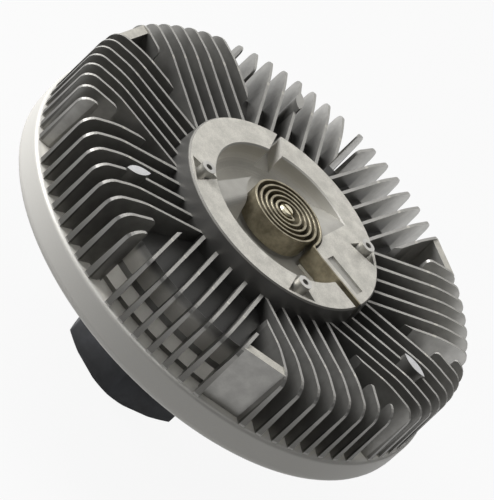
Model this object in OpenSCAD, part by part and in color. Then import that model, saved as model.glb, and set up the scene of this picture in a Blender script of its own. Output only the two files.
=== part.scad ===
// Viscous fan clutch: a finned die-cast housing that turns on a hexagon drive hub.
// The axis is +Z with the finned front up, and the rear face of the hub lies on z = 0.
// Angles are measured from +X about +Z. All lengths are millimetres.

/* [Drive hub] */
// Width of the hexagon across its flats
hex_af = 69; // [62:1:76]
// Length of the hexagon
hex_len = 33; // [28:1:36]
// Radial cut of the chamfer on the corners of the hexagon
hex_chamfer = 4.5; // [1:0.5:5]
// Azimuth of one corner of the hexagon
hex_turn = -84; // [-90:0.5:-60]
// Minor radius of the thread in the hub
thread_r = 20.2; // [18:0.1:22]
// Depth of the threaded hole
thread_depth = 30; // [24:1:31]
// Radius of the neck behind the bearing
neck_r = 28; // [25:0.5:29]
// Length of the neck, from the hexagon to the bearing
neck_len = 13; // [10:1:16]
// Drop of the hub's shoulder below the inner race
shoulder_drop = 1; // [0.5:0.5:2]
// Chamfer between the neck and that shoulder
neck_chamfer = 2; // [1:0.5:3]

/* [Bearing] */
// Radius of the bearing's bore
bearing_bore_r = 17.5; // [16:0.1:18.5]
// Outer radius of the bearing
bearing_r = 36; // [35:0.1:38]
// Width of the bearing
bearing_w = 27; // [26:0.5:30]
// Radius of a ball
ball_r = 4.75; // [4.5:0.05:5]
// Depth of the ball tracks in the races
track_depth = 1.5; // [1:0.1:2]
// Balls in each row
ball_count = 12; // [8:1:13]
// Distance between the two rows of balls
row_gap = 11; // [10.5:0.1:12]
// Running play between the balls and their tracks
ball_play = 0.05; // [0.02:0.01:0.1]
// Thickness of the cage's wall
cage_t = 3; // [2:0.1:3.5]
// Wall of the cage beyond the balls
cage_rim = 0.7; // [0.4:0.1:1]
// Thickness of a bearing seal
seal_t = 1.5; // [1:0.1:1.6]
// Thickness of the circlip
circlip_t = 1.5; // [1:0.1:2]
// Depth of the circlip's groove
circlip_depth = 1.5; // [1:0.1:2]
// Overlap of the circlip on the outer race
circlip_cover = 2.5; // [1.5:0.1:3]
// Gap between the ends of the circlip
circlip_split = 6; // [4:0.5:10]

/* [Rotor] */
// Thickness of the rotor's web
web_t = 5; // [4:0.5:6]
// Height of the chamber behind the web
rear_room = 4; // [3:0.5:5]
// Height of the chamber in front of the web
front_room = 5.3; // [4.5:0.1:6]
// Radius of the rotor's hub
rotor_hub_r = 23.5; // [20:0.5:24]
// Radius of the rotor's seat on the shaft
rotor_seat_r = 14; // [12:0.5:15]
// Length of the rotor's hub
rotor_hub_len = 12; // [10:0.5:13]
// Draft of the rotor's hub
rotor_draft = 1; // [0:0.5:2]
// Width of a labyrinth ridge
ridge_w = 2; // [1.5:0.1:2.2]
// Radial distance from one ridge to the next on the same piece
ridge_pitch = 5; // [4.6:0.1:6]
// Ridges on the front of the rotor
front_ridges = 3; // [1:1:3]
// Ridges on the back of the rotor
rear_ridges = 5; // [1:1:6]
// Oil holes through the web
oil_holes = 6; // [3:1:8]
// Radius of an oil hole
oil_hole_r = 4; // [2:0.5:6]
// Distance of the oil holes from the axis
oil_hole_at = 68; // [50:1:75]
// Gap between parts that turn past each other
run_gap = 0.5; // [0.3:0.1:0.8]

/* [Rear housing] */
// Thickness of the rear wall
rear_wall = 5; // [4.5:0.5:6]
// Wall of the bearing boss
boss_wall = 10; // [8:0.5:12]
// Chamfer on the end of the bearing boss
boss_chamfer = 2; // [1:0.5:3]
// Chamfer round the edge of the rear wall
rear_chamfer = 5.5; // [4:0.5:6]
// Depth of the lip behind the bearing
rear_lip = 3; // [2:0.5:4]
// Height of the lip in front of the bearing
front_lip = 3; // [2.4:0.1:3.2]
// Thickness of the flange that the cover is rolled over
flange_t = 6.5; // [6:0.5:8]
// Width of the flange between the chamber and its edge
flange_w = 9; // [8:0.5:11]
// Rise of the joint between the halves above the rotor's web
seat_rise = 1; // [0.5:0.5:2]
// Section radius of the seal between the halves
cover_seal_r = 1.5; // [1:0.1:1.6]
// Radial stiffening ribs on the rear wall
rib_count = 18; // [6:6:24]
// Thickness of a rib
rib_t = 3; // [2:0.5:4]
// Distance of the ribs from the end of the bearing boss
rib_inset = 6; // [3:0.5:8]
// Distance of the ribs from the edge of the rear wall
rib_margin = 4; // [2:0.5:6]
// Height of the ribs at that edge
rib_end = 0.5; // [0.5:0.5:2]
// Fan screws
fan_count = 6; // [3:1:6]
// Pitch circle of the fan screws
fan_pcd = 150; // [140:1:160]
// Minor radius of the fan threads
fan_hole_r = 3.4; // [3:0.1:4]
// Radius of a fan boss
fan_boss_r = 9; // [7:0.5:10]
// Height of a fan boss behind the rear wall
fan_boss_h = 14; // [12:0.5:16]
// Metal left in front of the fan threads
fan_floor = 2.5; // [2:0.5:4]

/* [Cover] */
// Outer radius of the ring face
ring_r = 60; // [56:0.5:62]
// Inner radius of the ring face
ring_in_r = 43; // [41:0.5:44]
// Rounding between the wall and the floor of the coil's cavity
cavity_round = 8; // [4:0.5:10]
// Depth of the coil's cavity below the ring face
cavity_depth = 13; // [12:0.5:14]
// Thickness between the coil's cavity and the reservoir
cavity_wall = 10; // [9:0.5:12]
// Height of the reservoir
reservoir_h = 15.2; // [14:0.2:18]
// Height of the ring boss above the channels between the fins
boss_h = 16; // [14:0.5:17]
// Draft of the ring boss
boss_draft = 2; // [1:0.5:3]
// Wall from the reservoir to the step where the channels go down to the shelf
step_wall = 14.5; // [12:0.5:16]
// Outward slope of that step
step_draft = 2.5; // [1:0.5:4]
// Wall between the shelf and the working chamber
shelf_t = 4.2; // [3.6:0.2:8]
// Fall of the shelf from the step to the rim groove
shelf_fall = 2.5; // [1:0.5:3]
// Depth of the groove inside the rim
groove_depth = 2.5; // [1.5:0.5:3]
// Width of that groove
groove_w = 6.5; // [5:0.5:7]
// Outer radius of the rim
rim_r = 126; // [115:0.5:135]
// Wall of the rim round the flange
rim_wall = 4.5; // [4:0.5:6]
// Width of the ledge inside the rim
rim_ledge = 9; // [8:0.5:11]
// Rounding of the rim's front edge
rim_round = 2; // [1:0.5:3]
// Rounding of the rolled rear edge
roll_round = 5.5; // [3:0.5:6]
// Thickness of the rolled lip
roll_t = 3; // [3:0.5:5]
// Overlap of the rolled lip behind the flange
roll_w = 5; // [3:0.5:6]
// Chamfer on the edges of the ring face
edge = 0.8; // [0.4:0.1:1.5]

/* [Fins] */
// Groups of parallel fins
sectors = 9; // [6:3:12]
// Azimuth of the first group
sector_turn = -88.5; // [-95:0.5:-80]
// Distance between neighbouring fins
fin_pitch = 9.8; // [9:0.1:10.5]
// Thickness of a fin at its top
fin_top_t = 1.5; // [1.2:0.1:2.4]
// Thickness of a fin at its root
fin_root_t = 3.4; // [2.6:0.1:4]
// Fall of the fin tops from the knee to the ring boss
fin_dip = 9.2; // [6:0.2:10]
// Distance of the fins' outer edges from the rim's outside
fin_inset = 2.5; // [2:0.5:5]
// Draft of those outer edges
fin_draft = 1; // [0:0.5:2]
// Length of the level tops, from the knee to the outer edge
level_len = 19.5; // [14:0.5:24]
// Rounding of the knee
knee_round = 60; // [20:5:80]
// Rounding of the fins' outer corners
fin_round = 7; // [3:0.5:9]
// Length of the late fin of each group
late_len = 20.5; // [16:0.5:24]
// Length of the short fin in the corner of a group
short_len = 9; // [7:0.5:9]
// Rounding of the inner ends of late and short fins
start_round = 3; // [1:0.5:4]
// Distance of the chucking pads' faces from the rim's outside
pad_inset = 6; // [5:0.5:8]
// Thickness of a chucking pad
pad_t = 5; // [3:0.5:7]
// Drop of the chucking pads below the fin tops
pad_drop = 1; // [0:0.5:3]
// Distance of the oval pads' middles from the fins' outer edges
oval_inset = 24.5; // [20:0.5:30]
// Length of an oval pad
oval_len = 15; // [10:0.5:18]
// Width of an oval pad
oval_w = 5.5; // [4:0.5:7]
// Rise of the oval pads above the ring face
oval_rise = 1.2; // [0:0.1:2]

/* [Ring features] */
// Azimuth of the first of the four ring pockets
pocket_turn = 37.3; // [30:0.1:45]
// Radius of a hollow rivet
rivet_r = 4; // [3:0.1:4.5]
// Step from a rivet to its thinner shank
rivet_step = 1; // [0.5:0.5:1.5]
// Radius of the hole in a rivet
rivet_hole_r = 1.8; // [1:0.1:2.4]
// Height of a rivet above the ring face
rivet_rise = 4; // [2:0.5:6]
// Depth of the three-sided pockets round the rivets
pocket_depth = 3; // [2:0.5:4]
// Room between a rivet and the walls of its pocket
pocket_gap = 0.9; // [0.7:0.1:1.2]
// Azimuth of the straight side of the notch through the ring
notch_turn = 119.5; // [110:0.5:130]
// Depth of the notch
notch_depth = 11; // [6:0.5:12]
// Inner width of the notch
notch_w = 11; // [8:0.5:13]
// Outer width of the notch
notch_out_w = 1.5; // [1:0.5:5]
// Azimuth of the coil's tail
tail_turn = -8.5; // [-20:0.1:-5]
// Width of the slot for the tail
slot_w = 5.5; // [2:0.1:6]
// Room between the tail and the far side of its slot
tail_gap = 0.4; // [0.3:0.1:1]
// Inner radius of the two lands beside the coil
land_in_r = 24; // [23.5:0.5:26]
// Place along the tail where the ramp to the broad land leaves the floor
ramp_from = -8; // [-14:1:-2]
// Place along the tail where that ramp is level with the ring
ramp_to = 19; // [14:1:24]
// Rounding at the top of the ramp
ramp_round = 15; // [5:1:20]
// Direction of the bridge's near edge
bridge_turn = 75; // [65:1:85]
// Distance of the near edge from the axis
bridge_near = 10.9; // [8:0.1:14]
// Slope of the near side, across the bridge
bridge_slope = 5; // [1:0.5:7]
// Rounding at the top of that side
bridge_round = 5; // [2:0.5:8]
// Step from the ring face down to the bridge
bridge_drop = 0.4; // [0.2:0.1:1]
// Direction of the bridge's far edge
bridge_far_turn = 71; // [60:1:80]
// Distance of the far edge from the axis
bridge_far = 22.9; // [20:0.1:25]
// Depth of the groove in the broad land
recess_depth = 1; // [0.5:0.1:3]
// Start of that groove along the tail
recess_from = 31; // [28:1:34]
// Length of the groove
recess_len = 23; // [18:0.5:24]
// Width of the groove
recess_w = 6.5; // [4:0.5:7]
// Distance of the groove's near edge from the axis, across the tail
recess_y = 2.5; // [1.5:0.5:4]

/* [Valve] */
// Radius of the valve stem
stem_r = 4; // [3.5:0.1:4.5]
// Rise of the stem above the ring face
stem_rise = 2; // [1.5:0.5:4]
// Wall of the stem's bush
bush_t = 3; // [2:0.5:4]
// Width of the bush's flange
bush_flange_w = 2; // [1:0.5:3]
// Thickness of that flange
bush_flange_t = 0.8; // [0.5:0.1:1]
// Length of the bush below the reservoir's ceiling
bush_below = 2; // [1:0.5:3]
// Running clearance of the stem
stem_play = 0.05; // [0.02:0.01:0.1]
// Width of the stem's collar
collar_w = 2; // [1:0.5:3]
// Height of the collar
collar_h = 2.5; // [2:0.5:4]
// Depth of the clip's groove in the stem
clip_depth = 0.8; // [0.5:0.1:1]
// Thickness of the clip
clip_t = 0.95; // [0.6:0.05:1]
// Width of the clip outside the stem
clip_w = 3; // [2:0.5:4]
// Section radius of the stem's O-ring
o_ring_r = 0.7; // [0.5:0.1:0.9]
// Thickness of the valve arm
arm_t = 1.5; // [1:0.1:2]
// Width of the valve arm
arm_w = 10; // [8:0.5:12]
// Cover of the arm's pads round the gates
arm_cover = 3; // [2:0.5:4]
// Room between the arm and the separator plate
arm_gap = 0.5; // [0.3:0.1:1]
// Distance of the gates from the axis
gate_at = 55; // [45:1:60]
// Radius of a gate
gate_r = 4; // [3:0.5:5]
// Azimuth of the gates
gate_turn = 70; // [0:5:90]
// Thickness of the separator plate
plate_t = 1.5; // [1:0.1:2]
// Room between the separator plate and the innermost ridge
plate_margin = 3.5; // [3:0.5:5]
// Width of the plate's seat on the cover
plate_seat_w = 9.5; // [8:0.5:11]
// Screws of the separator plate
plate_screws = 6; // [4:1:8]
// Shank radius of a separator screw
screw_r = 1.6; // [1.2:0.1:2]
// Length of a separator screw in the cover
screw_len = 6; // [4:0.5:8]
// Height of a screw head
screw_head_h = 1.6; // [1.2:0.1:2]
// Rim of a screw head round its shank
screw_head_w = 1.2; // [0.8:0.1:1.5]
// Length of the pump scraper
scraper_len = 10; // [6:0.5:12]
// Width of the pump scraper
scraper_w = 6; // [4:0.5:8]
// Distance of the scraper from the plate's edge
scraper_inset = 1.5; // [1:0.5:3]

/* [Coil] */
// Thickness of the bimetal strip
strip_t = 1.2; // [0.8:0.1:1.4]
// Width of the bimetal strip
strip_w = 12; // [10:0.5:12.5]
// Inner radius of the first half turn
coil_in_r = 5.5; // [5.2:0.1:6]
// Growth of the radius with each half turn
coil_step = 1.62; // [1.5:0.01:1.65]
// Half turns of the coil
half_turns = 10; // [8:2:10]
// Play of the strip in the stem's slot
strip_play = 0.2; // [0.1:0.05:0.3]
// Rise of the coil above the ring face
coil_rise = 1.2; // [0.5:0.1:1.5]
// Drop of the tail below the ring face, or its rise above it where negative
tail_drop = -0.5; // [-1:0.1:2]
// Inner radius of the bend into the tail
bend_r = 1.2; // [1:0.1:2]

/* [Hidden] */
$fn = 96;

// Overlap that lets joined shapes of one casting merge
sink = 0.5;
// Clearance between pieces that sit still in each other
seat_gap = 0.05;
// Gap between pieces of different bodies that only pass each other
clear_gap = 0.3;

// Heights, from the rear face of the hub to the front
z_bearing = hex_len + neck_len;
z_floor = z_bearing + bearing_w;
z_web = z_floor + rear_room;
z_web_top = z_web + web_t;
z_roof = z_web_top + front_room;
z_plate_top = z_roof + plate_t;
z_ceiling = z_plate_top + reservoir_h;
z_cavity = z_ceiling + cavity_wall;
z_face = z_cavity + cavity_depth;
z_channel = z_face - boss_h;
z_shelf = z_roof + shelf_t;
z_groove = z_shelf - groove_depth;
z_seat = z_web_top + seat_rise;
z_flange = z_seat - flange_t;
z_roll = z_flange - roll_t;
z_rear = z_floor - rear_wall;

// Radii of the chain from the rim in to the reservoir
flange_r = rim_r - rim_wall;
chamber_r = flange_r - flange_w;
rotor_r = chamber_r - 2 * run_gap;
cover_ridge_r = rotor_r - ridge_w / 2;
rotor_ridge_r = cover_ridge_r - ridge_pitch / 2;
plate_r = rotor_ridge_r - (front_ridges - 1) * ridge_pitch - ridge_w / 2 - plate_margin;
reservoir_r = plate_r - plate_seat_w;
step_r = reservoir_r + step_wall;
fin_r = rim_r - fin_inset;
knee_r = fin_r - level_len;

// Radii that follow from the other fits
roll_in_r = flange_r - roll_w;
boss_r = bearing_r + boss_wall;
ball_at = (bearing_bore_r + bearing_r) / 2;
race_t = ball_at - bearing_bore_r - ball_r + track_depth;
inner_race_r = bearing_bore_r + race_t;
outer_race_r = bearing_r - race_t;
lip_r = ball_at + cage_t / 2 + clear_gap;
ledge_r = rim_r - rim_ledge;
groove_r = ledge_r - groove_w;
bush_r = stem_r + stem_play + bush_t;
rivet_at = (ring_in_r + ring_r) / 2;
sector_angle = 360 / sectors;

// Fins on each side of a group's middle one, the last of them late
side_fins = 3;
// Every third group has a chucking pad at its border
pad_every = 3;
// Oversize of cutters beyond the surfaces they open
over = 1;

// Corner of a profile rounded about a centre, from one angle to another
function arc(centre, r, from, to, steps = 6) =
    [for (i = [0 : steps]) let (a = from + (to - from) * i / steps) centre + r * [cos(a), sin(a)]];

// Solid of revolution of a profile given as radius and height
module turned(profile) {
    rotate_extrude() polygon(profile);
}

// Plain ring between two radii and two heights
module ring(r_in, r_out, z_low, z_high) {
    turned([[r_in, z_low], [r_out, z_low], [r_out, z_high], [r_in, z_high]]);
}

// Ring of round section
module round_ring(r, section_r, z) {
    translate([0, 0, z]) rotate_extrude() translate([r, 0]) circle(section_r, $fn = 32);
}

// Copies of the children evenly spaced about the axis
module around(count, start = 0) {
    for (i = [0 : count - 1]) rotate(start + i * 360 / count) children();
}

module drive_hub() {
    hex_corner_r = hex_af / 2 / cos(30);
    rounded_r = hex_corner_r - hex_chamfer;
    cone_r = hex_corner_r + over;
    cone_h = (cone_r - rounded_r) * tan(30);
    shoulder_r = inner_race_r - shoulder_drop;
    shaft_top = z_floor + rotor_hub_len;
    color([0.16, 0.16, 0.17]) difference() {
        union() {
            intersection() {
                rotate(hex_turn) cylinder(r = hex_corner_r, h = hex_len, $fn = 6);
                turned([[0, 0], [rounded_r, 0], [cone_r, cone_h], [cone_r, hex_len - cone_h],
                        [rounded_r, hex_len], [0, hex_len]]);
            }
            turned([[0, hex_len - sink], [neck_r, hex_len - sink],
                    [neck_r, z_bearing - rear_lip - neck_chamfer], [shoulder_r, z_bearing - rear_lip],
                    [shoulder_r, z_bearing],
                    [bearing_bore_r, z_bearing], [bearing_bore_r, z_floor], [rotor_seat_r, z_floor],
                    [rotor_seat_r, shaft_top - edge], [rotor_seat_r - edge, shaft_top], [0, shaft_top]]);
        }
        translate([0, 0, -over]) cylinder(r = thread_r, h = thread_depth + over);
        translate([0, 0, -sink]) cylinder(r1 = thread_r + edge + sink, r2 = thread_r, h = edge + 2 * sink);
    }
}

module rotor() {
    hub_top = z_floor + rotor_hub_len;
    bore_r = rotor_seat_r + seat_gap;
    color([0.66, 0.67, 0.68]) difference() {
        union() {
            turned([[bore_r, z_floor], [rotor_hub_r, z_floor], [rotor_hub_r, z_web], [rotor_r, z_web],
                    [rotor_r, z_web_top], [rotor_hub_r, z_web_top],
                    [rotor_hub_r - rotor_draft, hub_top], [bore_r, hub_top]]);
            for (i = [0 : front_ridges - 1])
                ridge(rotor_ridge_r - i * ridge_pitch, z_web_top - sink, z_roof - run_gap);
            for (i = [0 : rear_ridges - 1])
                ridge(rotor_ridge_r - i * ridge_pitch, z_floor + run_gap, z_web + sink);
        }
        around(oil_holes) translate([oil_hole_at, 0, z_web - over])
            cylinder(r = oil_hole_r, h = web_t + 2 * over);
    }
}

// Labyrinth ridge at a radius, between two heights
module ridge(r, z_low, z_high) {
    ring(r - ridge_w / 2, r + ridge_w / 2, z_low, z_high);
}

// Ball tracks of both rows, as cutters
module tracks() {
    for (side = [-1, 1])
        round_ring(ball_at, ball_r + ball_play, z_bearing + bearing_w / 2 + side * row_gap / 2);
}

module bearing_inner_race() {
    color([0.72, 0.73, 0.75]) difference() {
        ring(bearing_bore_r + seat_gap, inner_race_r, z_bearing, z_floor);
        tracks();
    }
}

module bearing_outer_race() {
    color([0.72, 0.73, 0.75]) difference() {
        ring(outer_race_r, bearing_r - seat_gap, z_bearing, z_floor);
        tracks();
    }
}

// Children at the centre of every ball
module at_balls() {
    for (side = [-1, 1])
        around(ball_count, side * 90 / ball_count)
            translate([ball_at, 0, z_bearing + bearing_w / 2 + side * row_gap / 2]) children();
}

module bearing_balls() {
    color([0.8, 0.81, 0.83]) at_balls() sphere(ball_r, $fn = 48);
}

module bearing_cage() {
    mid = z_bearing + bearing_w / 2;
    half = row_gap / 2 + ball_r + cage_rim;
    color([0.5, 0.38, 0.2]) difference() {
        ring(ball_at - cage_t / 2, ball_at + cage_t / 2, mid - half, mid + half);
        at_balls() rotate([0, 90, 0])
            cylinder(r = ball_r + ball_play, h = 4 * cage_t, center = true, $fn = 48);
    }
}

module bearing_seals() {
    color([0.12, 0.12, 0.13]) for (z = [z_bearing + clear_gap, z_floor - clear_gap - seal_t])
        ring(inner_race_r + clear_gap, outer_race_r - seat_gap, z, z + seal_t);
}

// Circlip groove and ring share their section through the gap argument
module circlip_ring(gap) {
    ring(bearing_r - circlip_cover, bearing_r + circlip_depth + gap,
         z_floor + seat_gap - gap, z_floor + circlip_t + gap);
}

module bearing_circlip() {
    color([0.35, 0.36, 0.38]) difference() {
        circlip_ring(0);
        translate([0, -circlip_split / 2, z_floor - over])
            cube([2 * bearing_r, circlip_split, circlip_t + 2 * over]);
    }
}

// Outer end of every fin's side outline: a rounded corner and a drafted edge
function fin_end() = concat(
    arc([fin_r - fin_round, z_face - fin_round], fin_round, 90, 0),
    [[fin_r + fin_draft, z_shelf], [fin_r + fin_draft, z_groove - sink]]);

// Side outline of the long fins: tops that rise from the ring boss to a rounded knee, then level
function long_outline() = let (
    slope = atan(fin_dip / (knee_r - ring_r)),
    tangent = knee_round * tan(slope / 2),
    inner_r = ring_r - boss_draft,
    foot_r = step_r - over)
    concat(
        [[inner_r, z_channel - 2 * sink], [inner_r, z_face - fin_dip], [ring_r, z_face - fin_dip]],
        arc([knee_r + tangent, z_face - knee_round], knee_round, 90 + slope, 90, 4),
        fin_end(),
        [[foot_r, z_groove - sink], [foot_r, z_channel - 2 * sink]]);

// Side outline of a fin that starts on the shelf with a rounded end
function shelf_outline(start_r) = let (round = min(start_round, fin_r - fin_round - start_r)) concat(
    [[start_r, z_groove - sink]],
    arc([start_r + round, z_face - round], round, 180, 90),
    fin_end());

// Drafted fin along +X at an offset from the axis
module fin(offset) {
    translate([ring_r / 2, offset, 0]) rotate([90, 0, 90]) linear_extrude(rim_r - ring_r / 2)
        polygon([[-fin_root_t / 2, z_groove - over], [fin_root_t / 2, z_groove - over],
                 [fin_top_t / 2, z_face + over], [-fin_top_t / 2, z_face + over]]);
}

// Neighbouring fins of one group, cut to a side outline and mitred at the group's borders
module fins(first, last, outline) {
    intersection() {
        for (k = [first : last]) fin(k * fin_pitch);
        rotate(-sector_angle / 2) rotate_extrude(angle = sector_angle) polygon(outline);
    }
}

// Parallel fins of one group; a group beside a chucking pad has no short fin
module fin_group(has_short) {
    fins(-side_fins, side_fins - 1, long_outline());
    fins(side_fins, side_fins, shelf_outline(fin_r - late_len));
    if (has_short) fins(side_fins + 1, side_fins + 1, shelf_outline(fin_r - short_len));
}

// Flat pad that closes the corner between two groups, square to their common border
module chucking_pad() {
    function half_width(r) = tan(sector_angle / 2) * r - side_fins * fin_pitch / cos(sector_angle / 2);
    pad_at = rim_r - pad_inset;
    inner = pad_at - pad_t;
    translate([0, 0, z_groove - sink]) linear_extrude(z_face - pad_drop - z_groove + sink)
        polygon([[inner, -half_width(inner)], [pad_at, -half_width(pad_at)],
                 [pad_at, half_width(pad_at)], [inner, half_width(inner)]]);
}

// Pointed oval pad on the middle fin of a group
module oval_pad() {
    side_r = (pow(oval_len, 2) + pow(oval_w, 2)) / (4 * oval_w);
    shift = side_r - oval_w / 2;
    height = z_face + oval_rise - z_channel + sink;
    translate([fin_r - oval_inset, 0, z_channel - sink]) intersection() {
        translate([0, shift, 0]) cylinder(r = side_r, h = height);
        translate([0, -shift, 0]) cylinder(r = side_r, h = height);
    }
}

// Casting of the cover without its fins
module cover_shell() {
    turned(concat(
        [[bush_r, z_ceiling], [bush_r, z_cavity]],
        arc([ring_in_r - cavity_round, z_cavity + cavity_round], cavity_round, -90, 0, 8),
        [[ring_in_r, z_face - edge], [ring_in_r + edge, z_face], [ring_r - edge, z_face],
         [ring_r, z_face - edge], [ring_r + boss_draft, z_channel], [step_r, z_channel],
         [step_r + step_draft, z_shelf + shelf_fall],
         [groove_r, z_shelf], [groove_r, z_groove], [ledge_r, z_groove], [ledge_r, z_shelf]],
        arc([rim_r - rim_round, z_shelf - rim_round], rim_round, 90, 0),
        arc([rim_r - roll_round, z_roll + roll_round], roll_round, 0, -90),
        [[roll_in_r, z_roll], [roll_in_r, z_flange], [flange_r, z_flange], [flange_r, z_seat],
         [chamber_r, z_seat], [chamber_r, z_roof], [plate_r + seat_gap, z_roof],
         [plate_r + seat_gap, z_plate_top],
         [reservoir_r, z_plate_top], [reservoir_r, z_ceiling]]));
    for (i = [0 : front_ridges - 1])
        ridge(cover_ridge_r - i * ridge_pitch, z_web_top + run_gap, z_roof + sink);
}

// Ring-shaped room between the coil and the ring, which the lands fill in part
module land_room() {
    ring(land_in_r, ring_in_r + edge + sink, z_cavity - sink, z_face);
}

// Broad land on the far side of the tail, flush with the ring, with a ramp down to the cavity's floor
module broad_land() {
    slope = atan(cavity_depth / (ramp_to - ramp_from));
    tangent = ramp_round * tan(slope / 2);
    rotate(tail_turn) intersection() {
        land_room();
        translate([0, ring_r, 0]) rotate([90, 0, 0]) linear_extrude(ring_r - tail_y())
            polygon(concat([[ramp_from - sink / tan(slope), z_cavity - sink]],
                           arc([ramp_to + tangent, z_face - ramp_round], ramp_round, 90 + slope, 90, 8),
                           [[ring_r, z_face], [ring_r, z_cavity - sink]]));
    }
}

// Narrow land opposite, a bridge from the ring to the coil with a sloping near side
module bridge_land() {
    top = z_face - bridge_drop;
    tilt = atan(bridge_slope / cavity_depth);
    shoulder = arc([bridge_near + bridge_round, top - bridge_round], bridge_round, 180 - tilt, 90);
    foot = shoulder[0][0] - (shoulder[0][1] - z_cavity + sink) * tan(tilt);
    intersection() {
        land_room();
        rotate(bridge_turn) translate([-ring_r, 0, 0]) rotate([90, 0, 90]) linear_extrude(ring_r)
            polygon(concat([[foot, z_cavity - sink]], shoulder, [[ring_r, top], [ring_r, z_cavity - sink]]));
        rotate(bridge_far_turn) translate([-ring_r, bridge_far - 2 * ring_r, z_cavity - sink])
            cube([2 * ring_r, 2 * ring_r, 2 * cavity_depth]);
    }
}

// Three-sided pocket round a rivet, with its point towards the axis
module ring_pocket() {
    translate([rivet_at + pocket_gap, 0, z_face - pocket_depth]) rotate(180)
        cylinder(r = 2 * (rivet_r + pocket_gap), h = pocket_depth + rivet_rise, $fn = 3);
}

// Notch through the ring, with one radial side, narrowing outwards
module ring_notch() {
    inner_r = ring_in_r - cavity_round;
    outer_r = ring_r + boss_draft;
    rotate(notch_turn) translate([0, 0, z_face - notch_depth]) linear_extrude(notch_depth + over)
        polygon([[inner_r, 0], [outer_r, 0], [outer_r, notch_out_w], [inner_r, notch_w]]);
}

// Slot that holds the coil's tail, out through the ring
module tail_slot() {
    inner_r = land_in_r - over;
    far_side = tail_y() + strip_t / 2 + tail_gap;
    rotate(tail_turn) translate([inner_r, far_side - slot_w, z_strip() - sink])
        cube([ring_r + boss_draft - inner_r, slot_w, strip_w + over]);
}

// Shallow groove in the broad land and the ring
module land_recess() {
    rotate(tail_turn) translate([recess_from, recess_y, z_face - recess_depth])
        cube([recess_len, recess_w, recess_depth + over]);
}

// Children at the three pockets of the ring; the fourth place is the notch
module at_pockets() {
    for (i = [0, 2, 3]) rotate(pocket_turn + i * 90) children();
}

// Children at the screws of the separator plate
module at_screws() {
    around(plate_screws) translate([(reservoir_r + plate_r) / 2, 0, 0]) children();
}

module front_cover() {
    color([0.62, 0.62, 0.6]) difference() {
        union() {
            cover_shell();
            for (j = [0 : sectors - 1]) rotate(sector_turn + j * sector_angle) {
                fin_group(j % pad_every != 0);
                if (j % pad_every == 0) rotate(sector_angle / 2) chucking_pad();
                if (j % pad_every == pad_every - 1) oval_pad();
            }
            broad_land();
            bridge_land();
        }
        at_pockets() {
            ring_pocket();
            translate([rivet_at, 0, z_face - boss_h / 2]) cylinder(r = rivet_r - rivet_step, h = boss_h);
        }
        ring_notch();
        tail_slot();
        land_recess();
        at_screws() translate([0, 0, z_plate_top - over]) cylinder(r = screw_r, h = screw_len + 2 * over);
    }
}

module hollow_rivets() {
    color([0.75, 0.75, 0.73]) at_pockets() translate([rivet_at, 0, 0]) difference() {
        union() {
            ring(0, rivet_r - rivet_step - seat_gap, z_face - boss_h / 2, z_face - pocket_depth + sink);
            ring(0, rivet_r, z_face - pocket_depth, z_face + rivet_rise);
        }
        translate([0, 0, z_face - pocket_depth])
            cylinder(r = rivet_hole_r, h = pocket_depth + rivet_rise + over);
    }
}

// Circle of the seal between the halves
function seal_at() = chamber_r + flange_w / 2;

module rear_housing() {
    wall_r = roll_in_r - seat_gap;
    edge_r = flange_r - seat_gap;
    boss_end = z_bearing - rear_lip;
    seal_room = cover_seal_r + 2 * seat_gap;
    fan_depth = fan_boss_h + rear_wall - fan_floor;
    color([0.55, 0.55, 0.54]) difference() {
        union() {
            turned([[lip_r, boss_end], [boss_r - boss_chamfer, boss_end], [boss_r, boss_end + boss_chamfer],
                    [boss_r, z_rear], [wall_r - rear_chamfer, z_rear], [wall_r, z_rear + rear_chamfer],
                    [wall_r, z_flange], [edge_r, z_flange], [edge_r, z_seat], [chamber_r, z_seat],
                    [chamber_r, z_floor], [boss_r, z_floor], [boss_r, z_floor + front_lip],
                    [bearing_r, z_floor + front_lip], [bearing_r, z_bearing], [lip_r, z_bearing]]);
            for (i = [1 : rear_ridges - 1])
                ridge(cover_ridge_r - i * ridge_pitch, z_floor - sink, z_web - run_gap);
            around(rib_count) rear_rib();
            at_fan_screws() cylinder(r = fan_boss_r, h = fan_boss_h + sink);
        }
        ring(seal_at() - seal_room, seal_at() + seal_room, z_seat - 2 * cover_seal_r, z_seat + over);
        circlip_ring(seat_gap);
        at_fan_screws() translate([0, 0, -over]) cylinder(r = fan_hole_r, h = fan_depth + over);
    }
}

// Children at the ends of the fan bosses
module at_fan_screws() {
    around(fan_count) translate([fan_pcd / 2, 0, z_rear - fan_boss_h]) children();
}

// Stiffening rib from the bearing boss out to the edge of the rear wall
module rear_rib() {
    inner = boss_r - over;
    outer = roll_in_r - rear_chamfer - rib_margin;
    translate([0, rib_t / 2, 0]) rotate([90, 0, 0]) linear_extrude(rib_t)
        polygon([[inner, z_bearing - rear_lip + rib_inset], [outer, z_rear - rib_end], [outer, z_rear + sink],
                 [inner, z_rear + sink]]);
}

module cover_seal() {
    color([0.08, 0.08, 0.08]) round_ring(seal_at(), cover_seal_r, z_seat - cover_seal_r);
}

module separator_plate() {
    color([0.7, 0.68, 0.6]) difference() {
        translate([0, 0, z_roof]) cylinder(r = plate_r, h = plate_t);
        for (side = [0, 180])
            rotate(gate_turn + side) translate([gate_at, 0, z_roof - over])
                cylinder(r = gate_r, h = plate_t + 2 * over);
        at_screws() translate([0, 0, z_roof - over])
            cylinder(r = screw_r + 2 * seat_gap, h = plate_t + 2 * over);
    }
}

module separator_screws() {
    color([0.5, 0.5, 0.52]) at_screws() {
        translate([0, 0, z_roof - screw_head_h]) cylinder(r = screw_r + screw_head_w, h = screw_head_h);
        translate([0, 0, z_roof - sink]) cylinder(r = screw_r - seat_gap, h = plate_t + screw_len + sink);
    }
}

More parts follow.
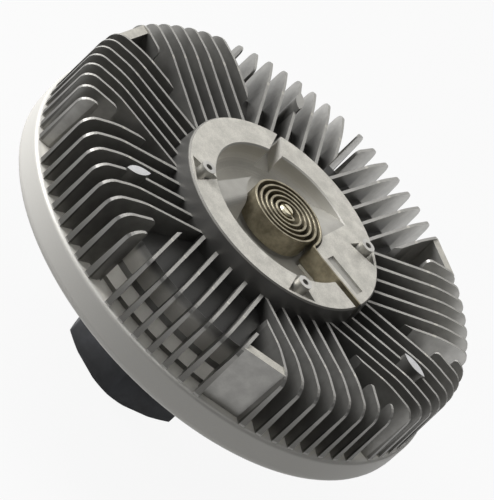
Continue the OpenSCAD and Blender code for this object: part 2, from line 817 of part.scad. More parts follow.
module pump_scraper() {
    z_low = z_web_top + run_gap;
    color([0.85, 0.84, 0.78]) rotate(180 / plate_screws)
        translate([plate_r - scraper_inset - scraper_len, -scraper_w / 2, z_low])
            cube([scraper_len, scraper_w, z_roof - z_low]);
}

module stem_bush() {
    bore_r = stem_r + stem_play;
    color([0.6, 0.45, 0.25]) {
        ring(bore_r, bush_r - seat_gap, z_ceiling - bush_below, z_cavity + bush_flange_t / 2);
        ring(bore_r, bush_r + bush_flange_w, z_cavity, z_cavity + bush_flange_t);
    }
}

// Levels along the stem
function z_arm() = z_plate_top + arm_gap;
function z_arm_top() = z_arm() + arm_t;
function z_stem_top() = z_face + stem_rise;
function z_collar() = z_ceiling - bush_below - clear_gap;
function z_o_ring() = (z_ceiling + z_cavity) / 2;
function z_clip() = z_cavity + bush_flange_t + clear_gap;
function z_strip() = z_face + coil_rise - strip_w;

// Radii along the stem: the seat of the arm, the O-ring groove and the clip groove
function arm_seat_r() = stem_r - edge;
function o_groove_r() = stem_r + stem_play - 2 * o_ring_r - seat_gap;
function clip_groove_r() = stem_r - clip_depth;

module valve_stem() {
    slot = strip_t + 2 * strip_play;
    groove_h = o_ring_r + clear_gap;
    clip_low = z_clip() - seat_gap;
    clip_high = z_clip() + clip_t + seat_gap;
    color([0.8, 0.78, 0.7]) difference() {
        turned([[0, z_arm()], [arm_seat_r(), z_arm()], [arm_seat_r(), z_arm_top()], [stem_r, z_arm_top()],
                [stem_r, z_collar() - collar_h], [stem_r + collar_w, z_collar() - collar_h],
                [stem_r + collar_w, z_collar()], [stem_r, z_collar()], [stem_r, z_o_ring() - groove_h],
                [o_groove_r(), z_o_ring() - groove_h], [o_groove_r(), z_o_ring() + groove_h],
                [stem_r, z_o_ring() + groove_h], [stem_r, clip_low], [clip_groove_r(), clip_low],
                [clip_groove_r(), clip_high], [stem_r, clip_high], [stem_r, z_stem_top() - edge],
                [stem_r - edge, z_stem_top()], [0, z_stem_top()]]);
        rotate(tail_turn) translate([-2 * stem_r, -slot / 2, z_strip() - strip_play])
            cube([4 * stem_r, slot, strip_w + stem_rise]);
    }
}

module valve_arm() {
    color([0.72, 0.7, 0.62]) difference() {
        translate([0, 0, z_arm()]) linear_extrude(arm_t) rotate(gate_turn) union() {
            circle(arm_w);
            translate([-gate_at, -arm_w / 2]) square([2 * gate_at, arm_w]);
            for (x = [-gate_at, gate_at]) translate([x, 0]) circle(gate_r + arm_cover);
        }
        translate([0, 0, z_arm() - over]) cylinder(r = arm_seat_r() + seat_gap, h = arm_t + 2 * over);
    }
}

module stem_clip() {
    color([0.35, 0.36, 0.38]) difference() {
        ring(clip_groove_r() + seat_gap, stem_r + clip_w, z_clip(), z_clip() + clip_t);
        rotate(tail_turn + 90) translate([0, -stem_r / 2, z_clip() - over])
            cube([2 * (stem_r + clip_w), stem_r, clip_t + 2 * over]);
    }
}

module stem_o_ring() {
    color([0.08, 0.08, 0.08]) round_ring(stem_r + stem_play - o_ring_r - seat_gap / 2, o_ring_r, z_o_ring());
}

// Inner radius of the last half turn, and the offset of the tail's middle line from the axis
function coil_last_r() = coil_in_r + (half_turns - 1) * coil_step;
function tail_y() = -bend_r - strip_t / 2;

// Arc of the strip about a centre on the tail's line, from one angle through a sweep
module strip_arc(x, r, from, sweep) {
    translate([x, 0, 0]) rotate(from) rotate_extrude(angle = sweep)
        translate([r, 0]) square([strip_t, strip_w]);
}

module bimetal_coil() {
    last = half_turns - 1;
    bend_x = coil_step + coil_last_r() + strip_t + bend_r;
    tail_len = ring_r - over - bend_x;
    color([0.42, 0.36, 0.25]) rotate(tail_turn) translate([0, 0, z_strip()]) {
        translate([-stem_r, -strip_t / 2, 0]) cube([stem_r + coil_in_r + strip_t, strip_t, strip_w]);
        for (i = [0 : 2 : last]) strip_arc(0, coil_in_r + i * coil_step, 180, 180);
        for (i = [1 : 2 : last]) strip_arc(coil_step, coil_in_r + i * coil_step, 0, 180);
        strip_arc(bend_x, bend_r, 180, 90);
        translate([bend_x, tail_y() - strip_t / 2, 0])
            cube([tail_len, strip_t, strip_w - coil_rise - tail_drop]);
    }
}

drive_hub();
rotor();
bearing_inner_race();
bearing_outer_race();
bearing_balls();
bearing_cage();
bearing_seals();
bearing_circlip();
front_cover();
rear_housing();
cover_seal();
separator_plate();
separator_screws();
pump_scraper();
hollow_rivets();
stem_bush();
bimetal_coil();
valve_stem();
valve_arm();
stem_clip();
stem_o_ring();
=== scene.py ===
import math

import bmesh
import bpy
from mathutils import Matrix, Vector
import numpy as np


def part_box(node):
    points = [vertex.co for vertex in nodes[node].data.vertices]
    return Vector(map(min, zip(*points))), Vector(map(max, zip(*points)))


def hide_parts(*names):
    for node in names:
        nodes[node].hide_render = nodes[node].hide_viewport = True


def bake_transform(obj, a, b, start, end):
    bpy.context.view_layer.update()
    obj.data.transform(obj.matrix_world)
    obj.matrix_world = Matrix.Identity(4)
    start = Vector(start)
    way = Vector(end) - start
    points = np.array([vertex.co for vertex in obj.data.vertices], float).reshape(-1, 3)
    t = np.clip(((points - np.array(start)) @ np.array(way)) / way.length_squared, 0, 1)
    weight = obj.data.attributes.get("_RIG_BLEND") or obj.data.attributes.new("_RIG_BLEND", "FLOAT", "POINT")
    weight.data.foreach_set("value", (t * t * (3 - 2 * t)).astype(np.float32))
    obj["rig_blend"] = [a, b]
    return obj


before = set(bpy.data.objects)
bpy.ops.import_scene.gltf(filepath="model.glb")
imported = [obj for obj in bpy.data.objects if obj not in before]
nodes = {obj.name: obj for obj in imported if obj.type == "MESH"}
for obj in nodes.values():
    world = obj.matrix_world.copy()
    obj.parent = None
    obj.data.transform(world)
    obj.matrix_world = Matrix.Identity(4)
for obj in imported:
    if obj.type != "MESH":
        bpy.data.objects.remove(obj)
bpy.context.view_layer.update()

# Lengths are metres and angles are degrees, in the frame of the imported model
MM = 0.001

# Levels of the cover from the top down, and its radii from the axis out
OVAL_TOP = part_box("front_cover")[1].z
FACE_Z = OVAL_TOP - 1.2 * MM
PAD_Z = FACE_Z - 1 * MM
CHANNEL_Z = FACE_Z - 16 * MM
SHELF_Z = FACE_Z - 35.5 * MM
RING_R = 60 * MM
STEP_R = 98.5 * MM
LEDGE_R = 117 * MM
FIN_R = 123.5 * MM

# Zones of the cover's finish and of its painted light and shade: a span or fade is where one look
# passes into the next, a band is a middle and its reach
# Painted light: the cover's skin is lighter towards this side, across this span
LIT_SIDE = (0.63, 0.78, 0.0)
LIT_SIDE_SPAN = (40 * MM, 95 * MM)
# Painted shade lies in the channels below this fade and on this band of the boss wall
CHANNEL_SHADE_FADE = (CHANNEL_Z, FACE_Z - 2 * MM)
BOSS_WALL_SHADE_BAND = (RING_R + 1.2 * MM, 1.4 * MM)
STEP_FADE = (STEP_R - 1 * MM, STEP_R + 2 * MM)
FIN_END_SPAN = (FIN_R - 0.8 * MM, FIN_R - 0.2 * MM)
FIN_END_FADE = (SHELF_Z + 4 * MM, FACE_Z - 4 * MM)
FIN_END_FOOT = SHELF_Z + 1 * MM
SHELF_TOP = SHELF_Z + 3 * MM
STEP_WALL_BAND = (STEP_R, 2 * MM)
STEP_WALL_FADE = (CHANNEL_Z - 7 * MM, CHANNEL_Z - 2 * MM)
RIM_SPAN = (LEDGE_R + 5 * MM, LEDGE_R + 8 * MM)
RIM_TOP = SHELF_Z + 0.3 * MM
CREST_FOOT = FACE_Z - 11 * MM
CAVITY_R = RING_R - 0.8 * MM
CAVITY_FADE = (CHANNEL_Z, FACE_Z)
LIP_BAND = (RING_R, 1 * MM)
LIP_FOOT = FACE_Z - 1.2 * MM
LEVEL_REACH = 0.2 * MM

# Greys of those zones: a level or the two levels it lies between, and how warm it is
# The first two are the painted shade and the painted light of the cover's two sides
SHADED_SIDE_GREYS = (0.27, 0.34, 0.035)
LIT_SIDE_GREYS = (0.46, 0.56, 0.03)
CHANNEL_SHADE_GREYS = (0.19, 0.07, 0.03)
FIN_END_SHADE_GREY = (0.13, 0.05)
SHELF_LIGHT_GREYS = (0.60, 0.78, 0.06)
RIM_GREYS = (0.54, 0.60, 0.04)
CREST_HIGHLIGHT_GREYS = (0.30, 0.44, 0.04)
CAVITY_WALL_LIGHT_GREY = (0.76, 0.05)
CAVITY_FLOOR_SHADE_GREYS = (0.34, 0.42, 0.07)
LIP_SHADE_GREY = (0.22, 0.05)
MACHINED_GREYS = (0.42, 0.60, 0.065)
OVAL_GREYS = (0.54, 0.66)

# How much painted shade the fin ends keep at their top, how much of its look the cavity keeps at its mouth,
# and what the zones add or take
FIN_END_LEAST = 0.3
CAVITY_LEAST = 0.6
CAST_METALLIC = 0.85
CAST_GLOSS = 0.5
ADDED_ROUGH = 0.3
RIM_LESS_METALLIC = 0.65
CAVITY_LESS_METALLIC = 0.3
RIM_LESS_GLOSS = 0.4
MOTTLE_BUMP = 0.6

# Height part of a normal, over which a wall passes into a floor, a crest or a level face
FLOOR_SLOPE = (0.5, 0.9)
CREST_SLOPE = (0.4, 0.9)
CAVITY_SLOPE = (0.3, 0.9)
LEVEL_SLOPE = (0.97, 0.99)

# Spans of noise, over which a look passes from its one end to the other
BLOTCH_SPAN = (0.3, 0.7)
CAST_SPAN = (0.3, 0.75)
GRAIN_SPAN = (0.2, 0.8)
TURNED_SPAN = (0.25, 0.75)
RUB_SPAN = (0.62, 0.8)
SPECKLE_SPAN = (0.7, 1.35)

# The bimetal's streaks are this much finer across the strip than along it
STREAK_SCALE = (1.0, 1.0, 14.0)

# How much a warm grey gains in red and loses in blue
WARM_RED = 0.5
WARM_BLUE = 1.4

# Edges of the nodes: widths of the bevels, and the angles from which edges are kept, rounded or shaded sharp
BEVELS = {
    "front_cover": 0.45 * MM,
    "drive_hub": 0.6 * MM,
    "rear_housing": 0.5 * MM,
    "hollow_rivets": 0.3 * MM,
    "valve_stem": 0.2 * MM,
}
BEVEL_SEGMENTS = 2
KEPT_ANGLE = 0.3
BEVEL_ANGLE = 35.0
SHARP_ANGLE = 28.0

# Bimetal strip, drawn with its tail along +X and then turned. Behind the bend its top falls from
# the coil's rise to the tail's, and the knot is the tail's one point before its end
TAIL_TURN = -8.5
STRIP_T = 1.2 * MM
STRIP_W = 12 * MM
STRIP_EDGE = 0.15 * MM
STRIP_SHARP_ANGLE = 30.0
COIL_RISE = 1.2 * MM
COIL_IN_R = 5.5 * MM
COIL_STEP = 1.62 * MM
HALF_TURNS = 10
HALF_TURN_STEPS = 36
STEM_R = 4 * MM
HOOK_R = 1 * MM
HOOK_STEPS = 8
BEND_R = 1.2 * MM
BEND_STEPS = 10
TAIL_RISE = 0.5 * MM
TAIL_FALL = 8 * MM
TAIL_KNOT = 5 * MM
TAIL_END = RING_R - 1 * MM
SAME_POINT = 1e-7

# Hub thread, cut into the plain hole of the solid by a cutter that starts inside the hole's wall
# and whose depth fades to a least share at both ends
THREAD_MINOR_R = 20.2 * MM
THREAD_MAJOR_R = 21.0 * MM
THREAD_PITCH = 1.5 * MM
THREAD_LOW = 2 * MM
THREAD_HIGH = 27 * MM
THREAD_FLANK = 0.46 * THREAD_PITCH
THREAD_INSIDE = 0.3 * MM
THREAD_LEAST = 0.02
THREAD_STEPS = 64

# Stage
FLOOR_HALF = 6.0
FLOOR_GLOW = 0.92
SKY_STRENGTH = 0.1
LAMP_AIM_Z = 90 * MM

# Camera, from the place of the ring in the photograph
CAMERA_ELEVATION = 29.8
CAMERA_ROLL = -46.3
CAMERA_LENS = 216.0
CAMERA_CLIP = (0.05, 50.0)
RING_RIGHT = 18.9 * MM
RING_UP = 18.85 * MM
RING_AWAY = 1.480


def grey(level, warm=0.0):
    """Grey that leans warm or, with a negative value, cool."""
    return (level * (1 + WARM_RED * warm), level, level * (1 - WARM_BLUE * warm), 1.0)


class Graph:
    """Shader nodes of one material, wired by short calls."""

    def __init__(self, name):
        self.material = bpy.data.materials.new(name)
        self.material.use_nodes = True
        self.tree = self.material.node_tree
        self.tree.nodes.clear()
        self.place = self.add("TexCoord").outputs
        self.coords = self.place["Object"]

    def feed(self, socket, value):
        if isinstance(value, bpy.types.NodeSocket):
            self.tree.links.new(value, socket)
        else:
            socket.default_value = value

    def add(self, kind, inputs=None, **settings):
        made = self.tree.nodes.new("ShaderNode" + kind)
        for key, value in settings.items():
            setattr(made, key, value)
        for key, value in (inputs or {}).items():
            self.feed(made.inputs[key], value)
        return made

    def noise(self, size, detail, rough, vector=None):
        """Noise from 0 to 1 whose blotches are about size metres across."""
        inputs = {"Vector": vector or self.coords, "Scale": 1.0 / size, "Detail": detail, "Roughness": rough}
        return self.add("TexNoise", inputs).outputs["Fac"]

    def ramp(self, value, low, high, start=0.0, end=1.0):
        """Value carried smoothly from the range low to high into start to end."""
        inputs = {"Value": value, "From Min": low, "From Max": high, "To Min": start, "To Max": end}
        return self.add("MapRange", inputs, interpolation_type="SMOOTHSTEP").outputs["Result"]

    def fall(self, value, low, high, end=0.0):
        """1 up to low, and the end from high on."""
        return self.ramp(value, low, high, 1.0, end)

    def maths(self, operation, first, second):
        return self.add("Math", {0: first, 1: second}, operation=operation).outputs["Value"]

    def plus(self, first, second):
        return self.maths("ADD", first, second)

    def minus(self, first, second):
        return self.maths("SUBTRACT", first, second)

    def times(self, first, second):
        return self.maths("MULTIPLY", first, second)

    def most(self, first, *others):
        for other in others:
            first = self.maths("MAXIMUM", first, other)
        return first

    def above(self, value, level):
        return self.maths("GREATER_THAN", value, level)

    def below(self, value, level):
        return self.maths("LESS_THAN", value, level)

    def near(self, value, middle, reach):
        """1 where the value is within reach of the middle."""
        return self.add("Math", {0: value, 1: middle, 2: reach}, operation="COMPARE").outputs["Value"]

    def mix(self, factor, first, second):
        """Colour between first and second."""
        inputs = {"Factor": factor, "A": first, "B": second}
        return self.add("Mix", inputs, data_type="RGBA").outputs["Result"]

    def greys(self, factor, first, second, warm=0.0):
        """Grey between two levels that lean warm alike."""
        return self.mix(factor, grey(first, warm), grey(second, warm))

    def split(self):
        """Radius from the axis, Y and Z of the shaded point."""
        axes = self.add("SeparateXYZ", {"Vector": self.coords}).outputs
        across = self.add("CombineXYZ", {"X": axes["X"], "Y": axes["Y"]}).outputs["Vector"]
        return self.add("VectorMath", {0: across}, operation="LENGTH").outputs["Value"], axes["Y"], axes["Z"]

    def along(self, direction):
        """How far the shaded point lies in a direction."""
        inputs = {0: self.coords, 1: direction}
        return self.add("VectorMath", inputs, operation="DOT_PRODUCT").outputs["Value"]

    def facing_up(self):
        """Height part of the surface normal in the object's own frame."""
        return self.add("SeparateXYZ", {"Vector": self.place["Normal"]}).outputs["Z"]

    def bump(self, height, depth):
        return self.add("Bump", {"Height": height, "Distance": depth}).outputs["Normal"]

    def surface(self, shader):
        self.add("OutputMaterial", {"Surface": shader})
        return self.material

    def finish(self, colour, roughness, metallic, normal, gloss=0.5):
        inputs = {"Base Color": colour, "Roughness": roughness, "Metallic": metallic, "Normal": normal,
                  "Specular IOR Level": gloss}
        return self.surface(self.add("BsdfPrincipled", inputs).outputs["BSDF"])


def cast_cover():
    """Die-cast aluminium, machined on ring and pads, with painted shade in the channels, cavity and fin
    ends, painted highlights on the fin tops and one side painted lighter.
    """
    g = Graph("cast_cover")
    radius, y, height = g.split()
    up = g.facing_up()
    mottle = g.noise(7 * MM, detail=5.0, rough=0.55)
    grain = g.noise(0.6 * MM, detail=3.0, rough=0.6)
    cloud = g.ramp(mottle, *CAST_SPAN)
    floors = g.ramp(up, *FLOOR_SLOPE)

    # Skin with painted light on the side of the cover towards +X and +Y and painted shade on the opposite
    # side
    shaded_side = g.greys(cloud, *SHADED_SIDE_GREYS)
    clean = g.greys(cloud, *LIT_SIDE_GREYS)
    skin = g.mix(g.ramp(g.along(LIT_SIDE), *LIT_SIDE_SPAN), shaded_side, clean)

    # Painted shade in the channels between the fins, darkest on their floors, and on the wall of the ring's
    # boss
    channel_shade = g.most(g.fall(height, *CHANNEL_SHADE_FADE), g.near(radius, *BOSS_WALL_SHADE_BAND))
    channel_shade = g.times(channel_shade, g.fall(radius, *STEP_FADE))
    skin = g.mix(channel_shade, skin, g.greys(floors, *CHANNEL_SHADE_GREYS))

    # Painted shade on the outer ends of the fins, darkest at their feet
    ends = g.times(g.ramp(radius, *FIN_END_SPAN), g.fall(height, *FIN_END_FADE, end=FIN_END_LEAST))
    ends = g.times(ends, g.above(height, FIN_END_FOOT))
    skin = g.mix(ends, skin, grey(*FIN_END_SHADE_GREY))

    # Painted light on the up-facing shelf between the fins and on the lower wall of the step above it; the
    # top of that wall, under the step's edge, is left darker as painted shadow
    wall = g.times(g.near(radius, *STEP_WALL_BAND), g.fall(height, *STEP_WALL_FADE))
    shelf = g.most(g.times(floors, g.below(height, SHELF_TOP)), wall)
    skin = g.mix(shelf, skin, g.greys(mottle, *SHELF_LIGHT_GREYS))

    # Rim below the shelf
    rim = g.times(g.ramp(radius, *RIM_SPAN), g.below(height, RIM_TOP))
    skin = g.mix(rim, skin, g.greys(grain, *RIM_GREYS))

    # Painted highlight on the up-facing tops of the fins
    crest = g.times(g.ramp(up, *CREST_SLOPE), g.above(height, CREST_FOOT))
    crest = g.times(crest, g.above(radius, RING_R))
    skin = g.mix(crest, skin, g.greys(mottle, *CREST_HIGHLIGHT_GREYS))

    # Walls and floors of the coil cavity: painted light on the walls and painted shade on the up-facing
    # floors
    cavity = g.times(g.below(radius, CAVITY_R), g.fall(height, *CAVITY_FADE, end=CAVITY_LEAST))
    cavity_floor_shade = g.greys(mottle, *CAVITY_FLOOR_SHADE_GREYS)
    inside = g.mix(g.ramp(up, *CAVITY_SLOPE), grey(*CAVITY_WALL_LIGHT_GREY), cavity_floor_shade)
    skin = g.mix(cavity, skin, inside)

    # Painted shade on the outer edge of the ring, against the lamp's light on its chamfer
    lip = g.times(g.near(radius, *LIP_BAND), g.above(height, LIP_FOOT))
    skin = g.mix(lip, skin, grey(*LIP_SHADE_GREY))

    # Machined faces: the ring, the ovals but for the far one, and the pads
    ring = g.times(g.near(height, FACE_Z, LEVEL_REACH), g.below(radius, RING_R))
    oval = g.times(g.near(height, OVAL_TOP, LEVEL_REACH), g.below(y, RING_R))
    pad = g.times(g.near(height, PAD_Z, LEVEL_REACH), g.above(radius, STEP_R))
    machined = g.times(g.most(ring, oval, pad), g.ramp(up, *LEVEL_SLOPE))
    speckle = g.ramp(g.plus(mottle, grain), *SPECKLE_SPAN)
    bright = g.mix(oval, g.greys(speckle, *MACHINED_GREYS), g.greys(speckle, *OVAL_GREYS))
    colour = g.mix(machined, skin, bright)

    # Crests, lip and cavity are rougher; rim, shelf and cavity are less metallic; the rim has less gloss
    rough = g.ramp(grain, *GRAIN_SPAN, 0.36, 0.5)
    rough = g.plus(rough, g.times(g.most(crest, lip, cavity), ADDED_ROUGH))
    matt = g.times(g.most(rim, shelf), RIM_LESS_METALLIC)
    matt = g.most(matt, g.times(cavity, CAVITY_LESS_METALLIC))
    metallic = g.minus(CAST_METALLIC, matt)
    gloss = g.minus(CAST_GLOSS, g.times(rim, RIM_LESS_GLOSS))
    bump = g.bump(g.plus(grain, g.times(mottle, MOTTLE_BUMP)), 0.03 * MM)
    return g.finish(colour, rough, metallic, bump, gloss)


def cast_rear():
    """Plain die-cast aluminium of the rear half."""
    g = Graph("cast_rear")
    mottle = g.noise(11 * MM, detail=6.0, rough=0.6)
    grain = g.noise(0.8 * MM, detail=3.0, rough=0.6)
    colour = g.greys(g.ramp(mottle, *CAST_SPAN), 0.34, 0.47, 0.02)
    rough = g.ramp(grain, *GRAIN_SPAN, 0.5, 0.64)
    return g.finish(colour, rough, metallic=0.6, normal=g.bump(g.plus(grain, mottle), 0.05 * MM))


def black_steel():
    """Blackened steel of the hub, blotched blue-grey and rubbed lighter in patches."""
    g = Graph("black_steel")
    mottle = g.noise(14 * MM, detail=5.0, rough=0.6)
    rub = g.noise(3 * MM, detail=4.0, rough=0.7)
    colour = g.mix(g.ramp(mottle, *BLOTCH_SPAN), grey(0.095, -0.03), grey(0.13, -0.06))
    colour = g.mix(g.ramp(rub, *RUB_SPAN), colour, grey(0.19, -0.02))
    rough = g.ramp(rub, *GRAIN_SPAN, 0.5, 0.65)
    return g.finish(colour, rough, metallic=0.0, normal=g.bump(rub, 0.03 * MM), gloss=0.1)


def turned_metal(name, levels, roughness, warm=0.0):
    """Metal turned on a lathe, with fine rings about the axis."""
    g = Graph(name)
    radius, _, height = g.split()
    rings = g.add("CombineXYZ", {"X": radius, "Y": height}).outputs["Vector"]
    lines = g.noise(0.35 * MM, detail=2.0, rough=0.5, vector=rings)
    stain = g.noise(8 * MM, detail=5.0, rough=0.6)
    colour = g.greys(g.ramp(stain, *CAST_SPAN), *levels, warm)
    rough = g.ramp(lines, *TURNED_SPAN, *roughness)
    return g.finish(colour, rough, metallic=0.9, normal=g.bump(lines, 0.01 * MM))


def bimetal():
    """Bronze-brown spring strip, browner in blotches and streaked along its rolling direction."""
    g = Graph("bimetal")
    stain = g.noise(5 * MM, detail=5.0, rough=0.6)
    rolled = g.add("VectorMath", {0: g.coords, 1: STREAK_SCALE}, operation="MULTIPLY").outputs["Vector"]
    streak = g.noise(3 * MM, detail=3.0, rough=0.6, vector=rolled)
    colour = g.mix(g.ramp(stain, *BLOTCH_SPAN), (0.18, 0.155, 0.105, 1.0), (0.33, 0.295, 0.21, 1.0))
    rough = g.ramp(streak, *GRAIN_SPAN, 0.34, 0.5)
    return g.finish(colour, rough, metallic=0.6, normal=g.bump(streak, 0.02 * MM))


def rubber():
    """Black rubber of the seals."""
    g = Graph("rubber")
    grain = g.noise(0.6 * MM, detail=4.0, rough=0.6)
    colour = g.greys(g.ramp(grain, *BLOTCH_SPAN), 0.012, 0.028)
    rough = g.ramp(grain, *GRAIN_SPAN, 0.55, 0.75)
    return g.finish(colour, rough, metallic=0.0, normal=g.bump(grain, 0.02 * MM))


def nylon():
    """Cream nylon of the scraper."""
    g = Graph("nylon")
    cloud = g.noise(4 * MM, detail=4.0, rough=0.6)
    colour = g.mix(g.ramp(cloud, *BLOTCH_SPAN), (0.62, 0.58, 0.47, 1.0), (0.75, 0.72, 0.62, 1.0))
    rough = g.ramp(cloud, *GRAIN_SPAN, 0.4, 0.55)
    return g.finish(colour, rough, metallic=0.0, normal=g.bump(cloud, 0.02 * MM))


FINISHES = {
    "cast_cover": cast_cover(),
    "cast_rear": cast_rear(),
    "machined_aluminium": turned_metal("machined_aluminium", (0.55, 0.7), (0.3, 0.42), warm=0.01),
    "black_steel": black_steel(),
    "bearing_steel": turned_metal("bearing_steel", (0.55, 0.68), (0.14, 0.24)),
    "spring_steel": turned_metal("spring_steel", (0.16, 0.26), (0.35, 0.5)),
    "plated_steel": turned_metal("plated_steel", (0.45, 0.62), (0.3, 0.45), warm=0.05),
    "bright_steel": turned_metal("bright_steel", (0.5, 0.66), (0.24, 0.38), warm=0.18),
    "dull_steel": turned_metal("dull_steel", (0.42, 0.55), (0.38, 0.5), warm=0.04),
    "bimetal": bimetal(),
    "bronze": turned_metal("bronze", (0.3, 0.42), (0.35, 0.5), warm=0.3),
    "rubber": rubber(),
    "nylon": nylon(),
}

FINISH_OF = {
    "drive_hub": "black_steel",
    "rotor": "machined_aluminium",
    "bearing_inner_race": "bearing_steel",
    "bearing_outer_race": "bearing_steel",
    "bearing_balls": "bearing_steel",
    "bearing_cage": "bronze",
    "bearing_seals": "rubber",
    "bearing_circlip": "spring_steel",
    "front_cover": "cast_cover",
    "rear_housing": "cast_rear",
    "cover_seal": "rubber",
    "separator_plate": "plated_steel",
    "separator_screws": "spring_steel",
    "pump_scraper": "nylon",
    "hollow_rivets": "dull_steel",
    "stem_bush": "bronze",
    "bimetal_coil": "bimetal",
    "valve_stem": "bright_steel",
    "valve_arm": "plated_steel",
    "stem_clip": "spring_steel",
    "stem_o_ring": "rubber",
}


def dress(obj, finish):
    obj.data.materials.clear()
    obj.data.materials.append(FINISHES[finish])


def smooth_shading():
    """Node group that shades a mesh smooth, except at its sharp edges."""
    group = bpy.data.node_groups.new("smooth_shading", "GeometryNodeTree")
    group.interface.new_socket("Geometry", in_out="INPUT", socket_type="NodeSocketGeometry")
    group.interface.new_socket("Geometry", in_out="OUTPUT", socket_type="NodeSocketGeometry")
    source = group.nodes.new("NodeGroupInput")
    faces = group.nodes.new("GeometryNodeSetShadeSmooth")
    edges = group.nodes.new("GeometryNodeSetShadeSmooth")
    edges.domain = "EDGE"
    edges.inputs["Shade Smooth"].default_value = False
    angle = group.nodes.new("GeometryNodeInputMeshEdgeAngle")
    sharp = group.nodes.new("FunctionNodeCompare")
    sharp.operation = "GREATER_THAN"
    sharp.inputs["B"].default_value = math.radians(SHARP_ANGLE)
    result = group.nodes.new("NodeGroupOutput")
    group.links.new(angle.outputs["Unsigned Angle"], sharp.inputs["A"])
    group.links.new(source.outputs["Geometry"], faces.inputs["Geometry"])
    group.links.new(faces.outputs["Geometry"], edges.inputs["Geometry"])
    group.links.new(sharp.outputs["Result"], edges.inputs["Selection"])
    group.links.new(edges.outputs["Geometry"], result.inputs["Geometry"])
    return group


def soften(obj, width, shading):
    """Rounds the sharp edges of a node, once its flat faces are whole again."""
    flat = obj.modifiers.new("flat_faces", "DECIMATE")
    flat.decimate_type = "DISSOLVE"
    flat.angle_limit = math.radians(KEPT_ANGLE)
    edges = obj.modifiers.new("edges", "BEVEL")
    edges.width = width
    edges.segments = BEVEL_SEGMENTS
    edges.limit_method = "ANGLE"
    edges.angle_limit = math.radians(BEVEL_ANGLE)
    obj.modifiers.new("smooth", "NODES").node_group = shading
    obj.modifiers.new("flat_normals", "WEIGHTED_NORMAL").keep_sharp = True


def add_object(name, data):
    made = bpy.data.objects.new(name, data)
    bpy.context.scene.collection.objects.link(made)
    return made


def closed_mesh(name, points, faces):
    """Mesh of a closed skin, with its normals outwards."""
    mesh = bpy.data.meshes.new(name)
    mesh.from_pydata(points, [], faces)
    made = bmesh.new()
    made.from_mesh(mesh)
    bmesh.ops.recalc_face_normals(made, faces=made.faces)
    made.to_mesh(mesh)
    made.free()
    return mesh


def swept_faces(stations, corners):
    """Side faces of a skin whose stations each have the same corners."""
    faces = []
    for i in range(stations - 1):
        for k in range(corners):
            low, high = i * corners + k, i * corners + (k + 1) % corners
            faces.append((low, high, high + corners, low + corners))
    return faces


def arc(x, radius, start, sweep, steps=HALF_TURN_STEPS):
    """Points of an arc about (x, 0)."""
    angles = [math.radians(start + sweep * i / steps) for i in range(steps + 1)]
    return [Vector((x + radius * math.cos(t), radius * math.sin(t))) for t in angles]


def strip_path():
    """Middle line of the strip from the stem to the end of its tail, and the place of the bend in it."""
    middle = COIL_IN_R + STRIP_T / 2
    hook_x = math.sqrt((middle - HOOK_R) ** 2 - HOOK_R ** 2)
    lean = math.degrees(math.atan2(HOOK_R, hook_x))
    path = [Vector((-STEM_R, 0)), Vector((0, 0))]
    path += [p - Vector((0, HOOK_R)) for p in arc(hook_x, HOOK_R, 90, -90 - lean, HOOK_STEPS)]
    path += arc(0, middle, -lean, lean - 180)
    for i in range(1, HALF_TURNS):
        side = i % 2
        path += arc(side * COIL_STEP, middle + i * COIL_STEP, side * 180, -180)
    bend = len(path)
    bend_x = COIL_STEP + COIL_IN_R + (HALF_TURNS - 1) * COIL_STEP + STRIP_T + BEND_R
    turn = BEND_R + STRIP_T / 2
    path += arc(bend_x, turn, 180, 90, BEND_STEPS)
    path += [Vector((x, -turn)) for x in (bend_x + TAIL_KNOT, TAIL_END)]
    clean = [path[0]]
    for i, point in enumerate(path):
        if (point - clean[-1]).length > SAME_POINT:
            clean.append(point)
        if i == bend:
            bend_at = len(clean) - 1
    return clean, bend_at


def bimetal_strip():
    """The coil, wound of one strip with rubbed edges, that winds as the stem turns."""
    path, bend_at = strip_path()
    lengths = [0.0]
    for before, after in zip(path, path[1:]):
        lengths.append(lengths[-1] + (after - before).length)
    coiled = lengths[bend_at]
    bottom = FACE_Z + COIL_RISE - STRIP_W
    half, c = STRIP_T / 2, STRIP_EDGE
    turn = Matrix.Rotation(math.radians(TAIL_TURN), 2)
    points, weights = [], []
    for i, point in enumerate(path):
        ahead = path[min(i + 1, len(path) - 1)] - path[max(i - 1, 0)]
        side = Vector((-ahead.y, ahead.x)).normalized()
        tail = min(max((lengths[i] - coiled) / TAIL_FALL, 0.0), 1.0)
        top = FACE_Z + COIL_RISE - tail * (COIL_RISE - TAIL_RISE)
        section = ((half - c, bottom), (half, bottom + c), (half, top - c), (half - c, top),
                   (c - half, top), (-half, top - c), (-half, bottom + c), (c - half, bottom))
        for across, height in section:
            place = turn @ (point + side * across)
            points.append((place.x, place.y, height))
            weights.append(max(0.0, 1.0 - lengths[i] / coiled))
    corners = len(section)
    faces = [tuple(range(corners - 1, -1, -1)), tuple(range(len(points) - corners, len(points)))]
    mesh = closed_mesh("bimetal_strip", points, faces + swept_faces(len(path), corners))
    mesh.shade_smooth()
    mesh.set_sharp_from_angle(angle=math.radians(STRIP_SHARP_ANGLE))
    strip = add_object("bimetal_strip", mesh)
    dress(strip, "bimetal")
    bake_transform(strip, "housing", "valve", (0, 0, 0), (0, 0, FACE_Z))
    mesh.attributes["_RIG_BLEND"].data.foreach_set("value", weights)
    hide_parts("bimetal_coil")


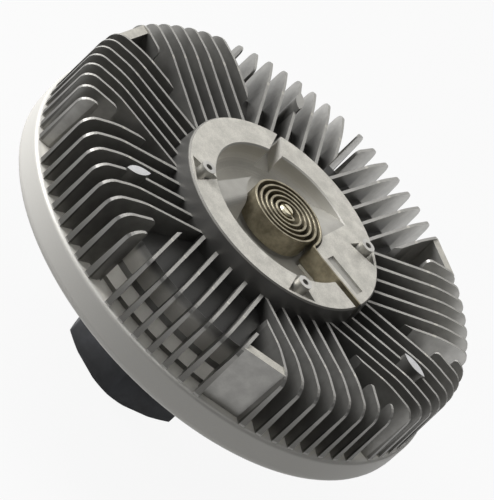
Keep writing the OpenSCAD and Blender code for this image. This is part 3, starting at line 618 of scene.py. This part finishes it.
def cut_thread(obj):
    """Cuts the hub thread about the axis into the hole of a node, shallow at both of its ends."""
    total = int((THREAD_HIGH - THREAD_LOW) / THREAD_PITCH * THREAD_STEPS)
    inside = THREAD_MINOR_R - THREAD_INSIDE
    points = []
    for i in range(total + 1):
        t = 2 * math.pi * i / THREAD_STEPS
        z = THREAD_LOW + THREAD_PITCH * i / THREAD_STEPS
        fade = min(1.0, i / THREAD_STEPS, (total - i) / THREAD_STEPS)
        tip = THREAD_MINOR_R + (THREAD_MAJOR_R - THREAD_MINOR_R) * max(fade, THREAD_LEAST)
        for radius, height in ((inside, z - THREAD_FLANK), (tip, z), (inside, z + THREAD_FLANK)):
            points.append((radius * math.cos(t), radius * math.sin(t), height))
    ends = [(0, 2, 1), (3 * total, 3 * total + 1, 3 * total + 2)]
    name = obj.name + "_thread_cutter"
    cutter = add_object(name, closed_mesh(name, points, swept_faces(total + 1, 3) + ends))
    cutter.hide_render = True
    cutter.hide_viewport = True
    cut = obj.modifiers.new("thread", "BOOLEAN")
    cut.operation = "DIFFERENCE"
    cut.solver = "EXACT"
    cut.object = cutter


def floor():
    """Floor that the camera and reflections see nearly white, with its shadow, and other rays see grey."""
    g = Graph("floor")
    colour = g.greys(g.noise(0.3, detail=2.0, rough=0.55), 0.35, 0.39)
    diffuse = g.add("BsdfDiffuse", {"Color": colour}).outputs["BSDF"]
    glow = g.add("Emission", {"Color": grey(1.0), "Strength": 1.0}).outputs["Emission"]
    path = g.add("LightPath").outputs
    seen = g.plus(path["Is Camera Ray"], path["Is Glossy Ray"])
    seen = g.maths("MINIMUM", g.plus(seen, path["Is Transmission Ray"]), 1.0)
    share = g.times(seen, FLOOR_GLOW)
    blend = g.add("MixShader", {0: share, 1: diffuse, 2: glow}).outputs["Shader"]
    mesh = bpy.data.meshes.new("floor")
    h = FLOOR_HALF
    mesh.from_pydata([(-h, -h, 0), (h, -h, 0), (h, h, 0), (-h, h, 0)], [], [(0, 1, 2, 3)])
    mesh.materials.append(g.surface(blend))
    made = add_object("floor", mesh)


def lamp(name, direction, distance, size, power):
    """Square soft lamp that looks at the middle of the object."""
    data = bpy.data.lights.new(name, "AREA")
    data.size = size
    data.energy = power
    made = add_object(name, data)
    towards = Vector(direction).normalized()
    made.location = Vector((0, 0, LAMP_AIM_Z)) + towards * distance
    made.rotation_mode = "QUATERNION"
    made.rotation_quaternion = towards.to_track_quat("Z", "Y")


def sky():
    world = bpy.data.worlds.new("sky")
    world.use_nodes = True
    background = world.node_tree.nodes["Background"].inputs
    background["Color"].default_value = grey(1.0)
    background["Strength"].default_value = SKY_STRENGTH
    bpy.context.scene.world = world


def camera():
    rise = math.radians(CAMERA_ELEVATION)
    roll = math.radians(CAMERA_ROLL)
    back = Vector((0, -math.cos(rise), math.sin(rise)))
    level = Vector((1, 0, 0))
    upright = back.cross(level)
    right = level * math.cos(roll) - upright * math.sin(roll)
    up = level * math.sin(roll) + upright * math.cos(roll)
    data = bpy.data.cameras.new("camera")
    data.lens = CAMERA_LENS
    data.clip_start, data.clip_end = CAMERA_CLIP
    made = add_object("camera", data)
    place = Vector((0, 0, FACE_Z)) - right * RING_RIGHT - up * RING_UP + back * RING_AWAY
    turn = Matrix((right, up, back)).transposed().to_4x4()
    made.matrix_world = Matrix.Translation(place) @ turn
    bpy.context.scene.camera = made


# Object
for name, finish in FINISH_OF.items():
    dress(nodes[name], finish)
smooth = smooth_shading()
for name, width in BEVELS.items():
    soften(nodes[name], width, smooth)
bimetal_strip()
cut_thread(nodes["drive_hub"])

# Stage: floor, light and camera
floor()
lamp("left", (-0.84, 0.1, 0.48), distance=1.4, size=0.9, power=33.0)
lamp("back", (0.1, 0.87, 0.5), distance=1.7, size=1.5, power=7.5)
lamp("top", (-0.05, -0.05, 1.0), distance=1.6, size=1.0, power=8.0)
sky()
camera()
bpy.context.scene.view_settings.view_transform = "Standard"
